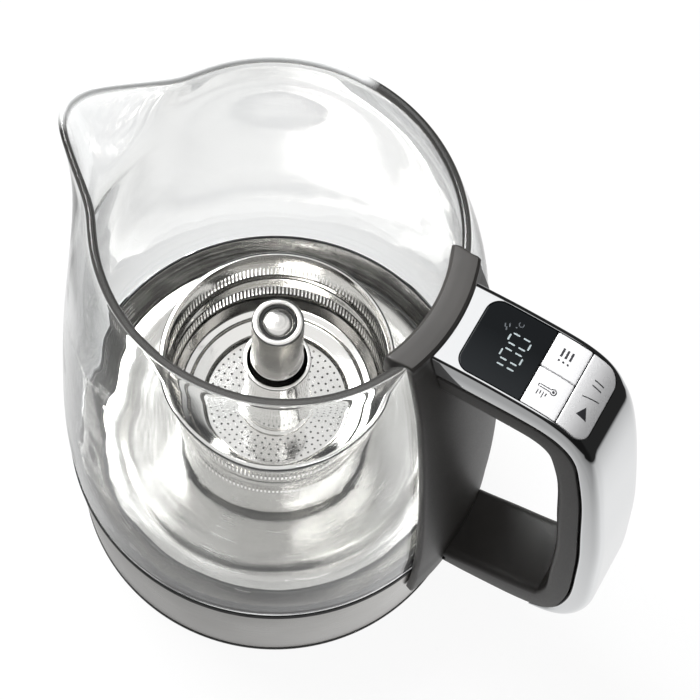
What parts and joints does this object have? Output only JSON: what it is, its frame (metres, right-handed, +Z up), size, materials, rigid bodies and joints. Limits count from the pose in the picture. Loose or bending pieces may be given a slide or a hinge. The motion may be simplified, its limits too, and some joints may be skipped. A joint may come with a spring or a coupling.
{
  "type": "automatic tea maker",
  "caption": "Glass tea maker jug with a steel heated base, a loop handle with display and keys, and a tea basket that a magnetic lift raises and lowers along a central post.",
  "frame": {"origin": "middle of the bounding box in plan, at the surface that the base stands on", "axes": "+Z up along the jug's axis, +X from the spout towards the handle, +Y across the handle"},
  "size_m": [0.2083, 0.1506, 0.2196],
  "materials": {
    "clear_glass": "clear, polished",
    "brushed_steel": "satin brushed",
    "polished_steel": "polished",
    "chrome": "mirror",
    "dark_grey_plastic": "fine matt",
    "black_plastic": "matt",
    "black_window": "high gloss",
    "grey_silicone": "soft matt",
    "silver_key": "satin metallic",
    "aluminium": "as cast",
    "brass": "machined",
    "magnet": "plated",
    "circuit_board": "lacquered",
    "wiring": "matt sheath"
  },
  "bodies": {
    "jug": {"glass_jug": "clear_glass", "base_skirt": "brushed_steel", "seal_ring": "black_plastic", "plate_gasket": "grey_silicone", "plate_carrier": "black_plastic", "base_cover": "black_plastic", "heating_plate": "polished_steel", "heat_spreader": "aluminium", "heating_element": "brushed_steel", "thermal_cutout": "aluminium", "temperature_sensor": "brass", "guide_post": "polished_steel", "post_cap": "polished_steel", "screw_bush": "dark_grey_plastic", "lift_gearbox": "dark_grey_plastic", "lift_motor": "brushed_steel", "gearbox_bracket": "aluminium", "bracket_screw_1": "brushed_steel", "bracket_screw_2": "brushed_steel", "bracket_screw_3": "brushed_steel", "cover_screw_1": "brushed_steel", "cover_screw_2": "brushed_steel", "cover_screw_3": "brushed_steel", "coupler_socket": "black_plastic", "contact_pin": "brass", "power_board": "circuit_board", "power_relay": "black_plastic", "board_capacitor": "aluminium", "handle_spine": "dark_grey_plastic", "handle_harness": "wiring", "chrome_shell": "chrome", "grip_inner": "dark_grey_plastic", "display_window": "black_window", "display_module": "black_plastic", "strength_switch": "black_plastic", "temperature_switch": "black_plastic", "start_switch": "black_plastic", "handle_board": "circuit_board", "lower_handle_screw": "brushed_steel", "upper_handle_screw": "brushed_steel"},
    "lead_screw": {"lead_screw": "brass"},
    "lift_carriage": {"lift_carriage": "dark_grey_plastic", "carriage_magnet": "magnet"},
    "basket": {"basket_shell": "polished_steel", "basket_floor": "polished_steel", "basket_sleeve": "polished_steel", "basket_magnet": "magnet", "basket_bush": "black_plastic"},
    "strength_key": {"strength_button": "silver_key"},
    "temperature_key": {"temperature_button": "silver_key"},
    "start_key": {"start_button": "silver_key"}
  },
  "joints": [
    {"name": "basket_lift", "type": "slide", "parent": "jug", "child": "lift_carriage", "axis": [0, 0, 1], "range_m": [0, 0.058]},
    {"name": "screw_turn", "type": "hinge", "parent": "jug", "child": "lead_screw", "pos_m": [-0.0275, 0, 0.08], "axis": [0, 0, 1], "range_deg": [0, 1745]},
    {"name": "basket_lift_off", "type": "slide", "parent": "lift_carriage", "child": "basket", "axis": [0, 0, 1], "range_m": [0, 0.165]},
    {"name": "strength_press", "type": "slide", "parent": "jug", "child": "strength_key", "axis": [0, 0, -1], "range_m": [0, 0.0006], "stiffness_N_per_m": 400},
    {"name": "temperature_press", "type": "slide", "parent": "jug", "child": "temperature_key", "axis": [0, 0, -1], "range_m": [0, 0.0006], "stiffness_N_per_m": 400},
    {"name": "start_press", "type": "slide", "parent": "jug", "child": "start_key", "axis": [0, 0, -1], "range_m": [0, 0.0006], "stiffness_N_per_m": 400}
  ],
  "couplings": [
    {"joint": "screw_turn", "follows": "basket_lift", "rad_per_m": 523.6}
  ]
}
